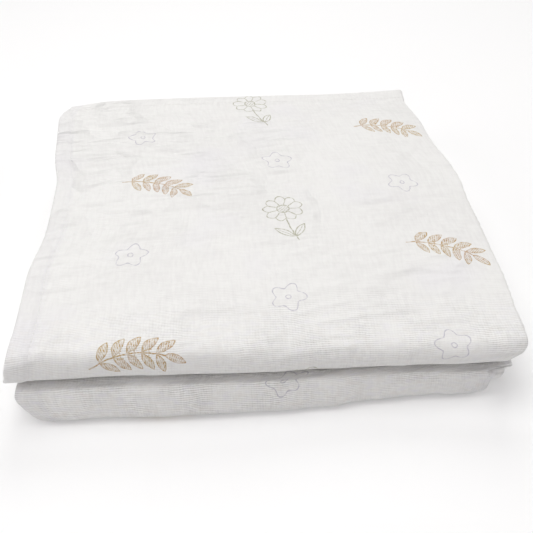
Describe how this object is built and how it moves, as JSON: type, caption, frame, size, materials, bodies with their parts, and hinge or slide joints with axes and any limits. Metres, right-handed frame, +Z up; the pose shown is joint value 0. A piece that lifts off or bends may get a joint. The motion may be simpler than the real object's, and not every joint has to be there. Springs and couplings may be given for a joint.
{
  "type": "swaddle blanket",
  "caption": "Square double-muslin swaddle blanket, folded in four both ways into a soft flat stack with a hemmed left side and rounded front folds.",
  "frame": {"origin": "on the floor under the middle of the folded stack's bounding box", "axes": "+Z up, the shortest side of the stack; the rounded folds of the stack face -Y, its hemmed long edges face -X"},
  "size_m": [0.3098, 0.3124, 0.0577],
  "materials": {
    "white_muslin": "matte"
  },
  "bodies": {
    "root": {"blanket": "white_muslin"}
  },
  "joints": []
}
